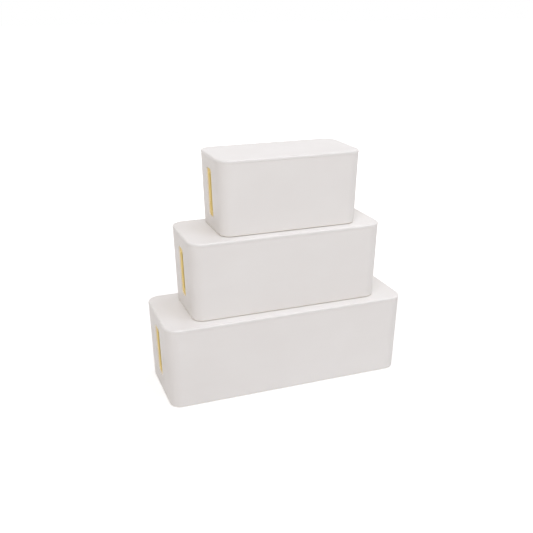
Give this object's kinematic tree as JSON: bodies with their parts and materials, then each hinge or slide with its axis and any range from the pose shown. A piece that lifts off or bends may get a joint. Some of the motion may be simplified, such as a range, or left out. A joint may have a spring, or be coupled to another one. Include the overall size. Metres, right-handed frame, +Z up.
{
  "type": "cable management box",
  "caption": "Stack of lidded cable management boxes with rounded corners, leaning walls, lift-off lids and lined upright cable slots in both ends.",
  "frame": {"origin": "bottom centre of the bounding box: below the middle of the large box, on the surface that it stands on", "axes": "+X to the right along the boxes' length, +Y to the rear, +Z up"},
  "size_m": [0.4, 0.147, 0.377],
  "materials": {
    "tray_plastic": "fine moulded satin white",
    "lid_plastic": "smooth satin white",
    "liner": "soft golden slot lining, satin",
    "foot_rubber": "soft pale grey rubber"
  },
  "bodies": {
    "large_box": {"large_body": "tray_plastic", "large_slot_liner_left": "liner", "large_slot_liner_right": "liner", "large_foot_front_left": "foot_rubber", "large_foot_front_right": "foot_rubber", "large_foot_rear_left": "foot_rubber", "large_foot_rear_right": "foot_rubber"},
    "large_cover": {"large_lid": "lid_plastic"},
    "medium_box": {"medium_body": "tray_plastic", "medium_slot_liner_left": "liner", "medium_slot_liner_right": "liner", "medium_foot_front_left": "foot_rubber", "medium_foot_front_right": "foot_rubber", "medium_foot_rear_left": "foot_rubber", "medium_foot_rear_right": "foot_rubber"},
    "medium_cover": {"medium_lid": "lid_plastic"},
    "small_box": {"small_body": "tray_plastic", "small_slot_liner_left": "liner", "small_slot_liner_right": "liner", "small_foot_front_left": "foot_rubber", "small_foot_front_right": "foot_rubber", "small_foot_rear_left": "foot_rubber", "small_foot_rear_right": "foot_rubber"},
    "small_cover": {"small_lid": "lid_plastic"}
  },
  "joints": [
    {"name": "large_lid_lift", "type": "slide", "parent": "large_box", "child": "large_cover", "axis": [0, 0, 1], "range_m": [0, 0.1]},
    {"name": "medium_box_lift", "type": "slide", "parent": "large_cover", "child": "medium_box", "axis": [0, 0, 1], "range_m": [0, 0.05]},
    {"name": "medium_lid_lift", "type": "slide", "parent": "medium_box", "child": "medium_cover", "axis": [0, 0, 1], "range_m": [0, 0.1]},
    {"name": "small_box_lift", "type": "slide", "parent": "medium_cover", "child": "small_box", "axis": [0, 0, 1], "range_m": [0, 0.05]},
    {"name": "small_lid_lift", "type": "slide", "parent": "small_box", "child": "small_cover", "axis": [0, 0, 1], "range_m": [0, 0.1]}
  ]
}
